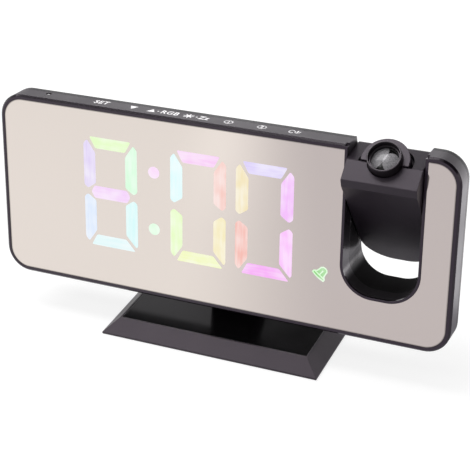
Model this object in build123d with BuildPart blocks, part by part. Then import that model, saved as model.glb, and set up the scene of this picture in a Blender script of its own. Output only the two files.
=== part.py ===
from build123d import *
from math import atan2, cos, degrees, radians, sin, sqrt
import os

# Projection alarm clock: a leaning mirror display on a low stand, with a swinging
# projector arm in a slot at its right-hand end. Millimetres. +Z is up, the display
# faces -Y, and the origin is the centre of the stand's underside.

# Case
clock_width = 190.0
clock_height = 77.0
clock_depth = 22.0
corner_radius = 10.0
lean = 6.6
lift = 16.4              # table to the case's front lower edge
wall = 2.0
front_depth = 7.7        # front frame, from the face to the seam
rim_depth = 10.2         # the full outline reaches back to here
shoulder_run = 1.2
shoulder_inset = 3.0
back_inset = 6.5
least_corner = 2.0       # corner radius that is left where the outline is drawn in
edge_chamfer = 0.8
back_round = 1.5
fit = 0.1                # between pieces that seat in each other
run = 0.3                # between pieces that move past each other

# Mirror and display
bezel = 1.9
mirror_thickness = 2.0
mirror_set_in = 0.15
ledge = 2.5              # what the mirror's edge rests on
ledge_thickness = 1.4
digit_height = 47.2
digit_width = 23.6
stroke = 5.2
flat_tip = 2.3           # from the figure's side to the tips of its top and bottom bars
upright_tip = 3.0        # from the figure's top to where the side bars begin on the outside
upright_cut = 1.6
bar_shoulder = 1.5
upright_end = 2.2
middle_length = 18.0
middle_tip = 1.5
segment_gap = 0.9
digit_pitch = 27.6
hour_gap = 38.0          # hours digit to the first minutes digit
hours_x = -46.5
digits_z = 1.6
colon_x = -27.4
colon_rise = 12.0
colon_radius = 2.45
bell_x = 42.2
bell_z = -15.4
bell_dome = 1.9
bell_skirt = 2.4
bell_rim_width = 6.2
bell_rim_height = 1.3
mask_depth = 4.4
mask_margin = 2.0
light_thickness = 1.5
board_thickness = 1.6
led_size = 1.8
led_height = 0.9

# Slot and projector arm
slot_x = 66.7
slot_half = 14.6
slot_corner = 11.8
slot_floor = 41.4        # below the pivot
slot_lip = 1.0
pivot_height = 20.9      # above the case's centre
open_angle = 40.0        # how far the arm stands swung out of the slot
arm_gap = 0.35
arm_wall = 1.8
arm_reach = 39.8         # pivot to the tongue's tip
arm_corner = 12.0
arm_parting = -1.4       # where the arm's two shells meet, in front of the pivot
arm_screw_height = -25.0
arm_screw_spread = 15.0
arm_screw_seat = 5.6     # from the arm's back to under the screws' heads
arm_screw_reach = 5.0    # into the front shell
chin_round = 1.2
brow_round = 0.5
ridge_round = 0.2
back_facet_round = 2.0
tongue_round = 8.0
head_front = 17.3
head_ridge = 17.95
head_chin = 14.4
head_lean = 1.1
back_facet_drop = 7.2
tongue_bend = -6.0
tongue_thinning = 7.5
pin_radius = 3.0
pin_head_radius = 4.5
pin_head = 1.2
pin_fit = 0.05
pin_button = 0.6         # the pin's end beyond its clip
clip_mouth = 3.6         # width of the clip's open side
washer_thickness = 0.5
clip_thickness = 0.8
clip_radius = 4.2
pin_neck_radius = 2.2

# Projector optics, heights above the pivot along the lens axis
barrel_radius = 6.4
barrel_bore = 5.85
barrel_top = 21.7
barrel_foot = 8.3
barrel_flange = 7.4
barrel_flange_thickness = 1.6
barrel_fit = 0.1
barrel_edge = 0.2        # chamfer round the barrel's mouth
collar_radius = 9.0
collar_top = 18.7
pocket_radius = 10.1
holder_foot = 6.0
holder_plate = 2.0
cell_radius = 5.75
cell_bottom = 15.6
cell_height = 4.2
lens_radius = 5.2
lens_seat = 0.7
lens_edge = 2.0
lens_dome = 1.6
tube_width = 17.0
tube_depth = 12.4
tube_length = 19.0
tube_wall = 1.5
tube_corner = 1.0
film_thickness = 0.7
film_drop = 4.0          # holder's underside to the film's underside
condenser_thickness = 3.0
condenser_drop = 10.0
condenser_round = 1.4
engine_board_margin = 1.5
source_size = 3.5
source_height = 0.8
source_dome = 1.3
source_dome_height = 0.9

# Keys along the back's upper slope
key_count = 7
key_pitch = 13.55
key_first_x = -51.1
key_width = 9.5
key_depth = 4.6
key_proud = 1.2
key_flange = 0.9
key_flange_thickness = 0.8
key_travel = 0.6
key_gap = 0.2
key_edge = 0.35
switch_size = 5.0
switch_height = 3.2
plunger_size = 2.6
plunger_height = 0.8
key_board_depth = 7.6
key_board_margin = 1.5

# Back face
screw_spread_x = 124.0
screw_middle_x = -18.0
screw_rise = 29.2
screw_radius = 1.2
screw_head_radius = 2.1
screw_head = 1.6
screw_sink = 0.6         # case screws' heads below the back
recess_length = 2.4      # cross recess in every screw's head
recess_width = 0.6
recess_depth = 0.9
boss_radius = 2.7
boss_split = 12.0
rib_thickness = 1.4
speaker_x = -52.0
speaker_radius = 13.0
speaker_flange = 1.2
speaker_ring = 2.5
speaker_basket = 1.0
speaker_magnet_radius = 7.8
speaker_magnet = 2.8
grille_slot = 1.4
grille_pitch = 3.6
grille_slots = 5
grille_margin = 1.5
door_x = 2.0
door_z = -2.0
door_width = 30.0
door_height = 27.0
door_thickness = 1.6
door_pin = 0.5
door_pin_length = 0.8
door_foot_round = 0.79   # lets the door's foot turn inside the back
door_grip_slots = 3
door_grip_pitch = 1.8
door_grip_slot = 0.7
door_grip_length = 16.0
door_grip_drop = 5.0
tray_depth = 5.2
tray_wall = 1.2
tray_margin = 1.0
cell_battery_radius = 10.0
cell_battery_thickness = 3.2
cell_battery_edge = 0.4
contact_length = 22.0
contact_width = 6.0
contact_thickness = 0.4
socket_x = 36.0
socket_z = -22.0
socket_width = 9.0
socket_height = 4.0
socket_corner = 1.2
socket_length = 7.0
socket_wall = 0.6
socket_floor = 1.0
socket_tongue_width = 5.6
socket_tongue = 0.7
socket_tongue_drop = 1.5
main_board_depth = 11.2
main_board_width = 84.0
main_board_height = 34.0
main_board_x = -4.0
connector_width = 25.0
connector_depth = 5.0
sensor_x = -75.6
sensor_depth = 6.0
sensor_hole = 1.15
sensor_radius = 1.5
sensor_length = 3.0

# Stand
base_width = 92.8
base_depth = 42.0
base_height = 6.0
base_bevel = 5.6
base_back_bevel = 0.8
base_edge = 0.8          # upright edge below the bevel
pad_thickness = 1.0
pad_proud = 0.4
pad_inset = 6.0
panel_thickness = 1.2
panel_rim = 0.7
neck_width = 24.0
neck_top_width = 20.0
neck_foot_depth = 8.4
neck_top_depth = 8.0
neck_foot_y = 14.6
neck_corner = 2.5
weight_thickness = 1.8
weight_width = 66.0
weight_depth = 16.0
weight_y = -6.0
stand_screw_spread = 13.0
stand_screw_length = 5.0


# Placing frames: x runs across, y back, z up the piece.
def tilted(y, z, angle):
    up = Vector(0, -sin(radians(angle)), cos(radians(angle)))
    return Plane(origin=(0, y, z), x_dir=(1, 0, 0), z_dir=up)


def spot(frame, x, y, z):
    return frame.origin + frame.x_dir * x + frame.y_dir * y + frame.z_dir * z


def front_of(frame, depth=0.0):
    return Plane(spot(frame, 0, depth, 0), x_dir=frame.x_dir, z_dir=frame.y_dir * -1)


def side_of(frame, across=0.0):
    return Plane(spot(frame, across, 0, 0), x_dir=frame.y_dir, z_dir=frame.x_dir)


def top_of(frame, height=0.0):
    return frame.offset(height)


def finish(builder, name):
    builder.part.label = name
    export_step(builder.part, f"parts/{name}.step")


os.makedirs("parts", exist_ok=True)

half_height = clock_height / 2
case_y = half_height * sin(radians(lean)) - clock_depth / 2 * cos(radians(lean))
case_z = lift + half_height * cos(radians(lean))
case = tilted(case_y, case_z, -lean)
pivot = spot(case, slot_x, clock_depth / 2, pivot_height)
arm = Plane(pivot, x_dir=(1, 0, 0), z_dir=tilted(0, 0, open_angle - lean).z_dir)
shoulder_depth = rim_depth + shoulder_run
floor_z = pivot_height - slot_floor


# Case outline, slot outline and the closed form of the rear shell
def outline(inset):
    corner = max(corner_radius - inset, least_corner)
    RectangleRounded(clock_width - 2 * inset, clock_height - 2 * inset, corner)


def slot_outline(grow):
    top = half_height + slot_corner + wall
    bottom = floor_z - grow
    with Locations((slot_x, (top + bottom) / 2)):
        RectangleRounded(2 * (slot_half + grow), top - bottom, slot_corner + grow)


def inset_at(depth):
    slope = (back_inset - shoulder_inset) / (clock_depth - shoulder_depth)
    return shoulder_inset + slope * (depth - shoulder_depth)


def rear_form(inset, back):
    steps = ((front_depth, 0), (rim_depth, 0), (shoulder_depth, shoulder_inset), (back, inset_at(back)))
    with BuildPart() as form:
        for depth, step in steps:
            with BuildSketch(front_of(case, depth)):
                outline(inset + step)
        loft(ruled=True)
    return form.part


def bar(shape_of, front, back):
    # A straight prism of the outline that shape_of draws, between two depths of the case
    with BuildPart() as prism:
        with BuildSketch(front_of(case, front)):
            shape_of()
        extrude(amount=front - back)
    return prism.part


def screw_places():
    return GridLocations(screw_spread_x, 2 * screw_rise, 2, 2)


def cross_recess():
    Rectangle(recess_length, recess_width)
    Rectangle(recess_width, recess_length)


# Front frame: bezel, ledge for the mirror, lip and wall of the slot, screw bosses
cavity_front = mirror_set_in + mirror_thickness + ledge_thickness
rib_length = half_height - wall / 2 - screw_rise
rib_middle = screw_rise + rib_length / 2
front_cavity = bar(lambda: outline(wall), cavity_front, front_depth)
front_cavity -= bar(lambda: slot_outline(wall), cavity_front, front_depth)

with BuildPart() as front_frame:
    with BuildSketch(front_of(case)):
        outline(0)
    extrude(amount=-front_depth)
    chamfer(front_frame.faces().sort_by(Axis(case.origin, case.y_dir))[0].edges(), edge_chamfer)
    with BuildSketch(front_of(case)):
        outline(bezel)
        slot_outline(slot_lip)
    extrude(amount=-mirror_set_in - mirror_thickness, mode=Mode.SUBTRACT)
    with BuildSketch(front_of(case)):
        slot_outline(slot_lip)
        with BuildSketch(mode=Mode.INTERSECT):
            outline(edge_chamfer)
    extrude(amount=-mirror_set_in - mirror_thickness)
    with BuildSketch(front_of(case)):
        outline(bezel + ledge)
        slot_outline(slot_lip + ledge)
        with BuildSketch(mode=Mode.SUBTRACT):
            slot_outline(slot_lip + ledge)
    extrude(amount=-front_depth, mode=Mode.SUBTRACT)
    add(front_cavity, mode=Mode.SUBTRACT)
    with BuildSketch(front_of(case, cavity_front - ledge_thickness)):
        with Locations((screw_middle_x, 0)):
            with screw_places():
                Circle(boss_radius)
    extrude(amount=cavity_front - ledge_thickness - boss_split)
    with BuildSketch(front_of(case, cavity_front - ledge_thickness)):
        with Locations((screw_middle_x, 0)):
            with GridLocations(screw_spread_x, 2 * rib_middle, 2, 2):
                Rectangle(rib_thickness, rib_length)
    extrude(amount=cavity_front - ledge_thickness - front_depth)
    with BuildSketch(front_of(case, boss_split)):
        with Locations((screw_middle_x, 0)):
            with screw_places():
                Circle(screw_radius)
    extrude(amount=boss_split - cavity_front, mode=Mode.SUBTRACT)
    with BuildSketch(front_of(case)):
        slot_outline(0)
    extrude(amount=-front_depth, mode=Mode.SUBTRACT)
    with BuildSketch(top_of(case, half_height)):
        with Locations((sensor_x, sensor_depth)):
            Circle(sensor_hole)
    extrude(amount=-wall - fit, mode=Mode.SUBTRACT)
    with BuildSketch(side_of(case, slot_x - slot_half - wall)):
        with Locations((clock_depth / 2, pivot_height)):
            Circle(pin_radius + pin_fit)
    extrude(amount=2 * (slot_half + wall), mode=Mode.SUBTRACT)
finish(front_frame, "front_frame")

# Mirror panel, notched for the slot
with BuildPart() as mirror_panel:
    with BuildSketch(front_of(case, mirror_set_in)):
        outline(bezel + fit)
        with BuildSketch(mode=Mode.SUBTRACT):
            slot_outline(slot_lip + fit)
    extrude(amount=-mirror_thickness)
finish(mirror_panel, "mirror_panel")


# Seven-segment figures: the outlines of one figure's bars, and where the figures stand
def flat_bar(grow):
    half = digit_width / 2
    top = digit_height / 2
    with BuildSketch(mode=Mode.PRIVATE) as shape:
        with BuildLine():
            Polyline((flat_tip - half, top), (half - flat_tip, top), (half - stroke, top - stroke),
                     (stroke - half, top - stroke), close=True)
        make_face()
        if grow:
            offset(amount=grow, kind=Kind.INTERSECTION)
    return shape.sketch


def upright_bar(grow):
    half = digit_width / 2
    top = digit_height / 2
    inner = stroke - half
    with BuildSketch(mode=Mode.PRIVATE) as shape:
        with BuildLine():
            Polyline((-half, top - upright_tip), (upright_cut - half, top - segment_gap),
                     (inner, top - stroke - bar_shoulder), (inner, stroke / 2 + segment_gap),
                     (upright_cut - half, segment_gap), (-half, upright_end), close=True)
        make_face()
        if grow:
            offset(amount=grow, kind=Kind.INTERSECTION)
    return shape.sketch


def middle_bar(grow):
    reach = middle_length / 2
    with BuildSketch(mode=Mode.PRIVATE) as shape:
        with BuildLine():
            Polyline((-reach, 0), (middle_tip - reach, stroke / 2), (reach - middle_tip, stroke / 2),
                     (reach, 0), (reach - middle_tip, -stroke / 2), (middle_tip - reach, -stroke / 2),
                     close=True)
        make_face()
        if grow:
            offset(amount=grow, kind=Kind.INTERSECTION)
    return shape.sketch


def figure_bars(grow=0.0):
    flat = flat_bar(grow)
    upright = upright_bar(grow)
    middle = middle_bar(grow)
    left_pair = [upright, mirror(upright, about=Plane.XZ, mode=Mode.PRIVATE)]
    right_pair = [mirror(piece, about=Plane.YZ, mode=Mode.PRIVATE) for piece in left_pair]
    return [flat, mirror(flat, about=Plane.XZ, mode=Mode.PRIVATE), middle] + left_pair + right_pair


bars = figure_bars()
wells = figure_bars(fit)


def bell_outline(grow=0.0):
    with Locations((bell_x, bell_z)):
        Circle(bell_dome + grow)
        with Locations((0, -bell_skirt / 2)):
            Rectangle(2 * (bell_dome + grow), bell_skirt)
        with Locations((0, -bell_skirt)):
            SlotOverall(bell_rim_width + 2 * grow, bell_rim_height + 2 * grow)


digit_names = ("hour_tens_figure", "hours_figure", "minute_tens_figure", "minutes_figure")
digit_xs = (hours_x - digit_pitch, hours_x, hours_x + hour_gap, hours_x + hour_gap + digit_pitch)
light_front = mirror_set_in + mirror_thickness + fit
mask_left = digit_xs[0] - digit_width / 2 - mask_margin
mask_right = bell_x + bell_rim_width / 2 + mask_margin
mask_top = digits_z + digit_height / 2 + mask_margin / 2
mask_bottom = digits_z - digit_height / 2 - mask_margin
mask_center = ((mask_left + mask_right) / 2, (mask_top + mask_bottom) / 2)
mask_size = (mask_right - mask_left, mask_top - mask_bottom)

# Light mask: one black plate with a well through it for every bar, dot and symbol
with BuildPart() as light_mask:
    with BuildSketch(front_of(case, light_front)):
        with Locations(mask_center):
            Rectangle(*mask_size)
    extrude(amount=-mask_depth)
    with BuildSketch(front_of(case, light_front)):
        for x in digit_xs:
            with Locations((x, digits_z)):
                for piece in wells:
                    add(piece)
        with Locations((colon_x, digits_z)):
            with GridLocations(0, 2 * colon_rise, 1, 2):
                Circle(colon_radius + fit)
        bell_outline(fit)
    extrude(amount=-mask_depth, mode=Mode.SUBTRACT)
finish(light_mask, "light_mask")

# Diffusers in the mouths of the wells
for name, x in zip(digit_names, digit_xs):
    with BuildPart() as figure:
        with BuildSketch(front_of(case, light_front)):
            with Locations((x, digits_z)):
                for piece in bars:
                    add(piece)
        extrude(amount=-light_thickness)
    finish(figure, name)

with BuildPart() as colon_dots:
    with BuildSketch(front_of(case, light_front)):
        with Locations((colon_x, digits_z)):
            with GridLocations(0, 2 * colon_rise, 1, 2):
                Circle(colon_radius)
    extrude(amount=-light_thickness)
finish(colon_dots, "colon_dots")

with BuildPart() as alarm_symbol:
    with BuildSketch(front_of(case, light_front)):
        bell_outline()
    extrude(amount=-light_thickness)
finish(alarm_symbol, "alarm_symbol")

# Display board behind the mask, with one light-emitting chip in every well
board_front = light_front + mask_depth
with BuildPart() as display_board:
    with BuildSketch(front_of(case, board_front)):
        with Locations(mask_center):
            Rectangle(*mask_size)
    extrude(amount=-board_thickness)
finish(display_board, "display_board")

upright_x = (digit_width - stroke) / 2
with BuildPart() as display_leds:
    with BuildSketch(front_of(case, board_front)):
        for x in digit_xs:
            with Locations((x, digits_z)):
                with GridLocations(2 * upright_x, digit_height / 2, 2, 2):
                    Rectangle(led_size, led_size)
                with GridLocations(0, (digit_height - stroke) / 2, 1, 3):
                    Rectangle(led_size, led_size)
        with Locations((colon_x, digits_z)):
            with GridLocations(0, 2 * colon_rise, 1, 2):
                Rectangle(led_size, led_size)
        with Locations((bell_x, bell_z)):
            Rectangle(led_size, led_size)
    extrude(amount=led_height)
finish(display_leds, "display_leds")

# Rear shell: rim, shoulder and tapered back, slot walls, bosses, battery tray and grille
rear_cavity = rear_form(wall, clock_depth - wall)
rear_cavity -= bar(lambda: slot_outline(wall), front_depth, clock_depth)
tray_front = clock_depth - door_thickness - tray_depth
screw_seat = clock_depth - screw_sink - screw_head
slope_tilt = degrees(atan2(back_inset - shoulder_inset, clock_depth - shoulder_depth))
slope_depth = (shoulder_depth + clock_depth) / 2
slope_height = half_height - inset_at(slope_depth)


def slope_plane(x, side, sink=0.0):
    # Plane on the back's upper (+1) or lower (-1) slope, its normal pointing out
    out = case.y_dir * sin(radians(slope_tilt)) + case.z_dir * (side * cos(radians(slope_tilt)))
    return Plane(spot(case, x, slope_depth, side * slope_height) - out * sink, x_dir=case.x_dir, z_dir=out)


def key_x(index):
    return key_first_x + index * key_pitch


def key_sketch(grow):
    Rectangle(key_width + 2 * grow, key_depth + 2 * grow)


def door_sketch(grow):
    with Locations((door_x, door_z)):
        Rectangle(door_width + 2 * grow, door_height + 2 * grow)


def door_pin_sketch(grow):
    with Locations((clock_depth - door_thickness / 2, door_z - door_height / 2 + door_thickness / 2)):
        Circle(door_pin + grow)


def tray_sketch(grow):
    with Locations((door_x, door_z)):
        Rectangle(door_width - 2 * (tray_wall + tray_margin - grow),
                  door_height - 2 * (tray_wall + tray_margin - grow))


def socket_sketch(grow):
    with Locations((socket_x, socket_z)):
        RectangleRounded(socket_width + 2 * grow, socket_height + 2 * grow, socket_corner + grow)


with BuildPart() as rear_shell:
    add(rear_form(0, clock_depth))
    back_face = rear_shell.faces().sort_by(Axis(case.origin, case.y_dir))[-1]
    fillet(back_face.edges(), back_round)
    add(rear_cavity, mode=Mode.SUBTRACT)
    with BuildSketch(front_of(case, boss_split + fit)):
        with Locations((screw_middle_x, 0)):
            with screw_places():
                Circle(boss_radius)
    extrude(amount=boss_split + fit - clock_depth + wall)
    with BuildSketch(front_of(case, tray_front)):
        tray_sketch(tray_wall)
    extrude(amount=tray_front - clock_depth + wall)
    with BuildSketch(front_of(case, screw_seat)):
        with Locations((screw_middle_x, 0)):
            with screw_places():
                Circle(screw_head_radius + fit)
    extrude(amount=screw_seat - clock_depth, mode=Mode.SUBTRACT)
    with BuildSketch(front_of(case, boss_split)):
        with Locations((screw_middle_x, 0)):
            with screw_places():
                Circle(screw_radius + fit)
    extrude(amount=boss_split - clock_depth + screw_head, mode=Mode.SUBTRACT)
    with BuildSketch(front_of(case, front_depth)):
        slot_outline(0)
    extrude(amount=front_depth - clock_depth, mode=Mode.SUBTRACT)
    with BuildSketch(side_of(case, slot_x - slot_half - wall)):
        with Locations((clock_depth / 2, pivot_height)):
            Circle(pin_radius + pin_fit)
    extrude(amount=2 * (slot_half + wall), mode=Mode.SUBTRACT)
    with BuildSketch(front_of(case, clock_depth - wall)):
        door_sketch(tray_wall)
    extrude(amount=tray_wall)
    with BuildSketch(front_of(case, clock_depth)):
        door_sketch(fit)
    extrude(amount=door_thickness + fit, both=True, mode=Mode.SUBTRACT)
    with BuildSketch(side_of(case, door_x - door_width / 2 - door_pin_length)):
        door_pin_sketch(pin_fit)
    extrude(amount=door_width + 2 * door_pin_length, mode=Mode.SUBTRACT)
    with BuildSketch(front_of(case, tray_front + tray_wall)):
        tray_sketch(0)
    extrude(amount=tray_front + tray_wall - clock_depth, mode=Mode.SUBTRACT)
    with BuildSketch(front_of(case, clock_depth)):
        with Locations((speaker_x, 0)):
            for place in range(grille_slots):
                rise = (place - (grille_slots - 1) / 2) * grille_pitch
                reach = sqrt((speaker_radius - grille_margin) ** 2 - rise**2)
                with Locations((0, rise)):
                    Rectangle(2 * reach, grille_slot)
    extrude(amount=wall + fit, mode=Mode.SUBTRACT, both=True)
    with BuildSketch(front_of(case, clock_depth)):
        socket_sketch(fit)
    extrude(amount=wall + fit, mode=Mode.SUBTRACT, both=True)
    for index in range(key_count):
        with BuildSketch(slope_plane(key_x(index), 1)):
            key_sketch(key_gap)
        extrude(amount=2 * wall, both=True, mode=Mode.SUBTRACT)
finish(rear_shell, "rear_shell")

# Keys, their board and their switches, under the upper slope
key_names = ("key_set", "key_down", "key_up", "key_light", "key_alarm_one", "key_alarm_two", "key_projector")
flange_top = wall / cos(radians(slope_tilt)) + fit
flange_bottom = flange_top + key_flange_thickness
plunger_top = flange_bottom + key_travel + run
board_top = plunger_top + plunger_height + switch_height

for index, name in enumerate(key_names):
    with BuildPart() as key:
        with BuildSketch(slope_plane(key_x(index), 1, flange_top)):
            key_sketch(0)
        extrude(amount=flange_top + key_proud)
        chamfer(key.faces().sort_by(Axis(case.origin, slope_plane(0, 1).z_dir))[-1].edges(), key_edge)
        with BuildSketch(slope_plane(key_x(index), 1, flange_bottom)):
            Rectangle(key_width + 2 * key_flange, key_depth + 2 * key_flange)
        extrude(amount=key_flange_thickness)
    finish(key, name)

board_middle = key_x((key_count - 1) / 2)
with BuildPart() as key_board:
    with BuildSketch(slope_plane(board_middle, 1, board_top)):
        Rectangle(key_pitch * key_count + 2 * key_board_margin, key_board_depth)
    extrude(amount=-board_thickness)
finish(key_board, "key_board")

with BuildPart() as key_switches:
    with BuildSketch(slope_plane(board_middle, 1, board_top)):
        with GridLocations(key_pitch, 0, key_count, 1):
            Rectangle(switch_size, switch_size)
    extrude(amount=switch_height)
    with BuildSketch(slope_plane(board_middle, 1, board_top - switch_height)):
        with GridLocations(key_pitch, 0, key_count, 1):
            Rectangle(plunger_size, plunger_size)
    extrude(amount=plunger_height)
finish(key_switches, "key_switches")

# Main board behind the display board
with BuildPart() as main_board:
    with BuildSketch(front_of(case, main_board_depth)):
        with Locations((main_board_x, door_z)):
            Rectangle(main_board_width, main_board_height)
    extrude(amount=-board_thickness)
finish(main_board, "main_board")

with BuildPart() as board_connector:
    with BuildSketch(front_of(case, board_front + board_thickness)):
        with Locations((main_board_x, door_z - main_board_height / 2 + connector_depth)):
            Rectangle(connector_width, connector_depth)
    extrude(amount=board_front + board_thickness - main_board_depth)
finish(board_connector, "board_connector")

# Speaker behind the grille
with BuildPart() as speaker:
    with BuildSketch(front_of(case, clock_depth - wall)):
        with Locations((speaker_x, 0)):
            Circle(speaker_radius)
            Circle(speaker_radius - speaker_ring, mode=Mode.SUBTRACT)
    extrude(amount=speaker_flange)
    with BuildSketch(front_of(case, clock_depth - wall - speaker_flange)):
        with Locations((speaker_x, 0)):
            Circle(speaker_radius)
    extrude(amount=speaker_basket)
    with BuildSketch(front_of(case, clock_depth - wall - speaker_flange - speaker_basket)):
        with Locations((speaker_x, 0)):
            Circle(speaker_magnet_radius)
    extrude(amount=speaker_magnet)
finish(speaker, "speaker")

# Backup battery, its contact strip and the tilting door
with BuildPart() as backup_battery:
    with BuildSketch(front_of(case, tray_front + tray_wall + contact_thickness)):
        with Locations((door_x, door_z)):
            Circle(cell_battery_radius)
    extrude(amount=-cell_battery_thickness)
    chamfer(backup_battery.faces().sort_by(Axis(case.origin, case.y_dir))[-1].edges(), cell_battery_edge)
finish(backup_battery, "backup_battery")

with BuildPart() as battery_contact:
    with BuildSketch(front_of(case, tray_front + tray_wall)):
        with Locations((door_x, door_z)):
            SlotOverall(contact_length, contact_width)
    extrude(amount=-contact_thickness)
finish(battery_contact, "battery_contact")

with BuildPart() as battery_door:
    with BuildSketch(front_of(case, clock_depth)):
        door_sketch(-fit)
    extrude(amount=door_thickness)
    lower_edges = battery_door.edges().filter_by(Axis.X).group_by(Axis(case.origin, case.z_dir))[0]
    fillet(lower_edges, door_foot_round)
    with BuildSketch(side_of(case, door_x - door_width / 2 - door_pin_length + fit)):
        door_pin_sketch(0)
    extrude(amount=door_width + 2 * (door_pin_length - fit))
    with BuildSketch(front_of(case, clock_depth)):
        with Locations((door_x, door_z + door_height / 2 - door_grip_drop)):
            with GridLocations(0, door_grip_pitch, 1, door_grip_slots):
                Rectangle(door_grip_length, door_grip_slot)
    extrude(amount=door_grip_slot, mode=Mode.SUBTRACT)
finish(battery_door, "battery_door")

# Power socket: an open metal sleeve with its contact tongue
with BuildPart() as power_socket:
    with BuildSketch(front_of(case, clock_depth - socket_length)):
        socket_sketch(0)
    extrude(amount=-socket_length)
    with BuildSketch(front_of(case, clock_depth - socket_length + socket_floor)):
        socket_sketch(-socket_wall)
    extrude(amount=-socket_length, mode=Mode.SUBTRACT)
    with BuildSketch(front_of(case, clock_depth - socket_length)):
        with Locations((socket_x, socket_z)):
            Rectangle(socket_tongue_width, socket_tongue)
    extrude(amount=socket_tongue_drop - socket_length)
finish(power_socket, "power_socket")

# Light sensor under its pinhole in the top edge
with BuildPart() as light_sensor:
    with BuildSketch(top_of(case, half_height - wall - fit)):
        with Locations((sensor_x, sensor_depth)):
            Circle(sensor_radius)
    extrude(amount=-sensor_length)
finish(light_sensor, "light_sensor")

# Case screws, driven from the back
with BuildPart() as case_screws:
    with BuildSketch(front_of(case, screw_seat)):
        with Locations((screw_middle_x, 0)):
            with screw_places():
                Circle(screw_head_radius)
    extrude(amount=-screw_head)
    with BuildSketch(front_of(case, screw_seat)):
        with Locations((screw_middle_x, 0)):
            with screw_places():
                Circle(screw_radius - fit)
    extrude(amount=screw_seat - cavity_front - rib_thickness)
    with BuildSketch(front_of(case, screw_seat + screw_head)):
        with Locations((screw_middle_x, 0)):
            with screw_places():
                cross_recess()
    extrude(amount=recess_depth, mode=Mode.SUBTRACT)
finish(case_screws, "case_screws")

# Hinge pins pressed through the slot walls, each held inside the arm by a washer and a clip
arm_half = slot_half - arm_gap
pin_length = wall + arm_gap + arm_wall + 2 * pin_fit + washer_thickness + clip_thickness + pin_button
clip_start = slot_half - arm_gap - arm_wall - 2 * pin_fit - washer_thickness
hinge_line = Axis(arm.origin, arm.x_dir)


def pair(part):
    # The piece with its mirror image about the middle of the arm
    return [part, mirror(part, about=side_of(arm), mode=Mode.PRIVATE)]


def stepped_turning(steps):
    # A solid turned about the hinge line: (start, length, outer radius, bore) from the arm's middle
    with BuildPart() as turning:
        for start, length, outer, bore in steps:
            with BuildSketch(side_of(arm, start)):
                Circle(outer)
                if bore:
                    Circle(bore, mode=Mode.SUBTRACT)
            extrude(amount=length)
    return turning.part


pin = stepped_turning((
    (slot_half + wall, pin_head, pin_head_radius, 0),
    (clip_start, slot_half + wall - clip_start, pin_radius, 0),
    (clip_start - clip_thickness - pin_fit, clip_thickness + pin_fit, pin_neck_radius, 0),
    (slot_half + wall - pin_length, pin_button, pin_radius, 0),
))
with BuildPart() as hinge_pins:
    add(pair(pin))
finish(hinge_pins, "hinge_pins")

with BuildPart() as hinge_washers:
    add(pair(stepped_turning(((clip_start, washer_thickness, pin_head_radius, pin_radius + pin_fit),))))
finish(hinge_washers, "hinge_washers")

clip = stepped_turning(((clip_start - clip_thickness, clip_thickness, clip_radius, pin_neck_radius),))
with BuildPart() as hinge_clips:
    add(pair(clip))
    with BuildSketch(front_of(arm, -clip_radius)):
        Rectangle(2 * slot_half, clip_mouth)
    extrude(amount=-clip_radius, mode=Mode.SUBTRACT)
finish(hinge_clips, "hinge_clips")

# Projector arm: a faceted head and a tongue that swings through the slot
half_depth = clock_depth / 2
tongue_end = arm_reach + 2.0


def arm_side(inset):
    with BuildSketch(mode=Mode.PRIVATE) as shape:
        with BuildLine():
            FilletPolyline(
                (-half_depth, -tongue_end), (-half_depth, head_chin), (head_lean - half_depth, head_front),
                (arm_parting, head_ridge), (half_depth, head_ridge - back_facet_drop),
                (half_depth, tongue_bend), (half_depth - tongue_thinning, -tongue_end),
                radius=(chin_round, brow_round, ridge_round, back_facet_round, tongue_round), close=False)
            Line((half_depth - tongue_thinning, -tongue_end), (-half_depth, -tongue_end))
        make_face()
        if inset:
            offset(amount=-inset, kind=Kind.INTERSECTION)
    return shape.sketch


def swept_barrel(inset):
    # What the arm may fill as it turns: its round-cornered end drawn flat, then turned about the hinge
    with BuildPart() as barrel:
        with BuildSketch(front_of(arm)):
            corner = min(arm_corner, arm_half - fit) - inset
            RectangleRounded(2 * (arm_half - inset), 2 * (arm_reach - inset), corner)
            with Locations((0, arm_reach)):
                Rectangle(2 * arm_reach, 2 * arm_reach, mode=Mode.SUBTRACT)
        revolve(axis=hinge_line)
    return barrel.part


def arm_form(inset):
    side = arm_side(inset)
    with BuildPart() as form:
        with BuildSketch(side_of(arm, -arm_half + inset)):
            add(side)
        extrude(amount=2 * (arm_half - inset))
        add(swept_barrel(inset), mode=Mode.INTERSECT)
    return form.part


hollow_arm = arm_form(0) - arm_form(arm_wall)
lens_line = Axis(arm.origin, arm.z_dir)
screw_seat_depth = half_depth - arm_screw_seat


def arm_slab(start, length):
    # A slab across the arm, from start towards the back
    with BuildPart() as slab:
        with BuildSketch(front_of(arm, start)):
            Rectangle(4 * slot_half, 4 * arm_reach)
        extrude(amount=-length)
    return slab.part


def arm_bosses(radius, start, length):
    with BuildPart() as bosses:
        with BuildSketch(front_of(arm, start)):
            with Locations((0, arm_screw_height)):
                with GridLocations(arm_screw_spread, 0, 2, 1):
                    Circle(radius)
        extrude(amount=-length)
    return bosses.part


with BuildPart() as arm_front_shell:
    add(hollow_arm)
    add(arm_bosses(boss_radius, -half_depth + arm_wall / 2, half_depth))
    add(arm_slab(arm_parting - fit / 2, clock_depth), mode=Mode.SUBTRACT)
    add(arm_bosses(screw_radius, -half_depth + 2 * arm_wall, half_depth), mode=Mode.SUBTRACT)
    with BuildSketch(top_of(arm)):
        Circle(barrel_radius + run)
    extrude(amount=2 * head_ridge, mode=Mode.SUBTRACT)
    with BuildSketch(side_of(arm, -arm_half)):
        Circle(pin_radius + pin_fit)
    extrude(amount=2 * arm_half, mode=Mode.SUBTRACT)
finish(arm_front_shell, "arm_front_shell")

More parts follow.
